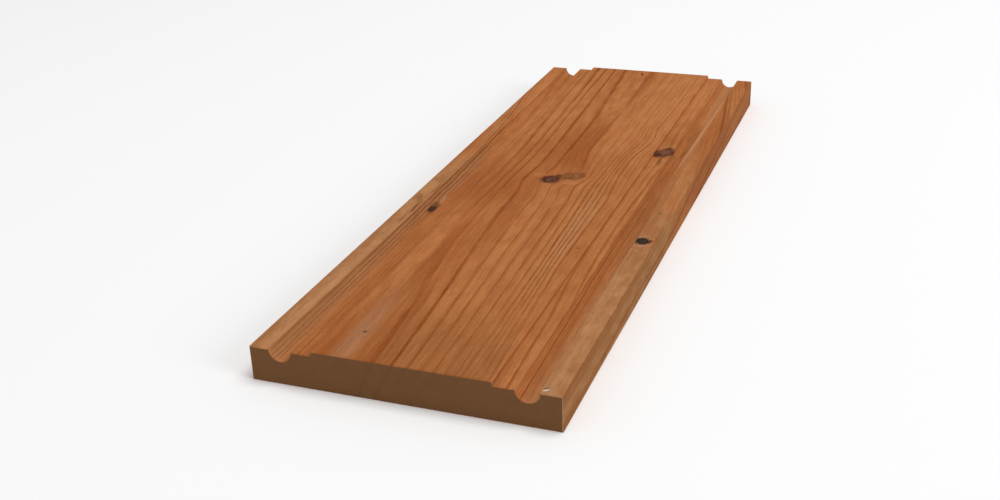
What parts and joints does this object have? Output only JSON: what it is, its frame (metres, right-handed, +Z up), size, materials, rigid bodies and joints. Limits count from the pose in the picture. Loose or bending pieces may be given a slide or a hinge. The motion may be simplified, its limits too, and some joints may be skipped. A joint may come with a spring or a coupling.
{
  "type": "ceiling board",
  "caption": "Planed softwood ceiling board with a raised flat panel, lowered margins and a half-round groove along each side; square edges butt to its neighbours.",
  "frame": {"origin": "middle of the flat back face, on the surface that the board lies on", "axes": "+Z up out of the moulded show face, +Y along the length and the grain, +X across the width"},
  "size_m": [0.145, 0.435, 0.019],
  "materials": {
    "wood": "planed knotty softwood, warm red-brown, bare and matt to satin; dark brown sawn ends"
  },
  "bodies": {
    "root": {"ceiling_board": "wood"}
  },
  "joints": []
}
